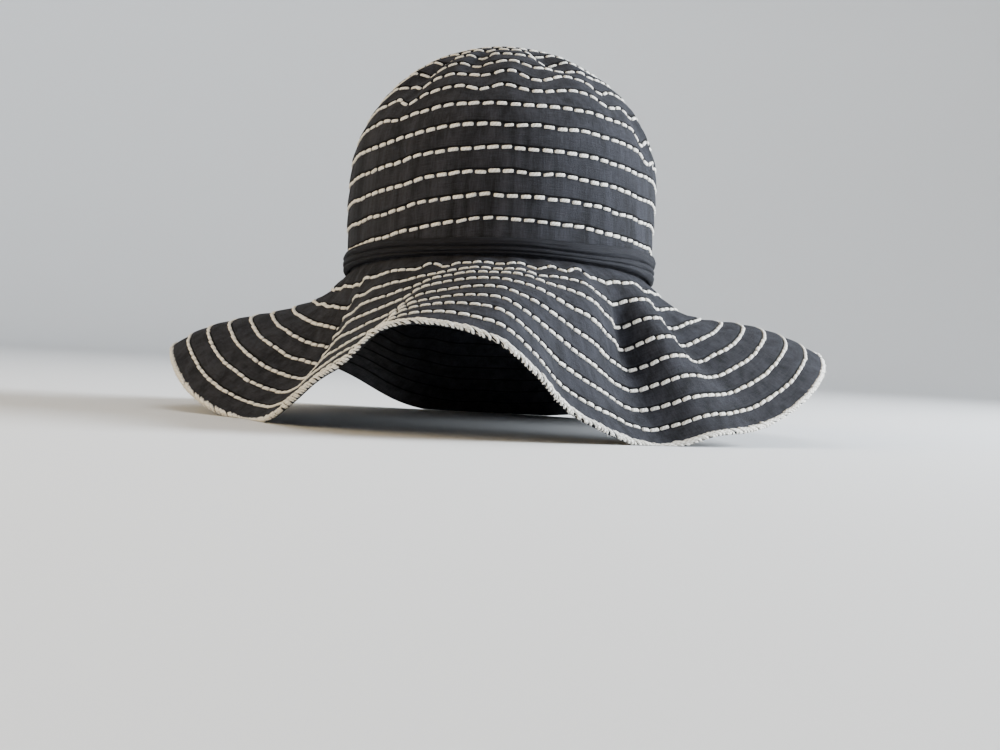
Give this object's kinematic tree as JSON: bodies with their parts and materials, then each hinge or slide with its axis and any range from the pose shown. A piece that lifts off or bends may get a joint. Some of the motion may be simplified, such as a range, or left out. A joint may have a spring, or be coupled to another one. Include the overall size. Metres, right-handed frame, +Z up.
{
  "type": "floppy sun hat",
  "caption": "Floppy sun hat of lapped black ribbon with a domed crown, a deep waving brim, a soft folded band and cream stitching.",
  "frame": {"origin": "on the resting plane, under the middle of the hat's outline in plan", "axes": "+Z up; the front of the hat faces -Y; +X is to the right of someone looking at the front"},
  "size_m": [0.374, 0.3944, 0.2134],
  "materials": {
    "ribbon": "matt black woven ribbon with a fine slub",
    "sash": "soft plain black cloth",
    "thread": "matt cream cotton thread"
  },
  "bodies": {
    "root": {"crown": "ribbon", "brim": "ribbon", "band": "sash", "rim_cord": "thread"}
  },
  "joints": []
}
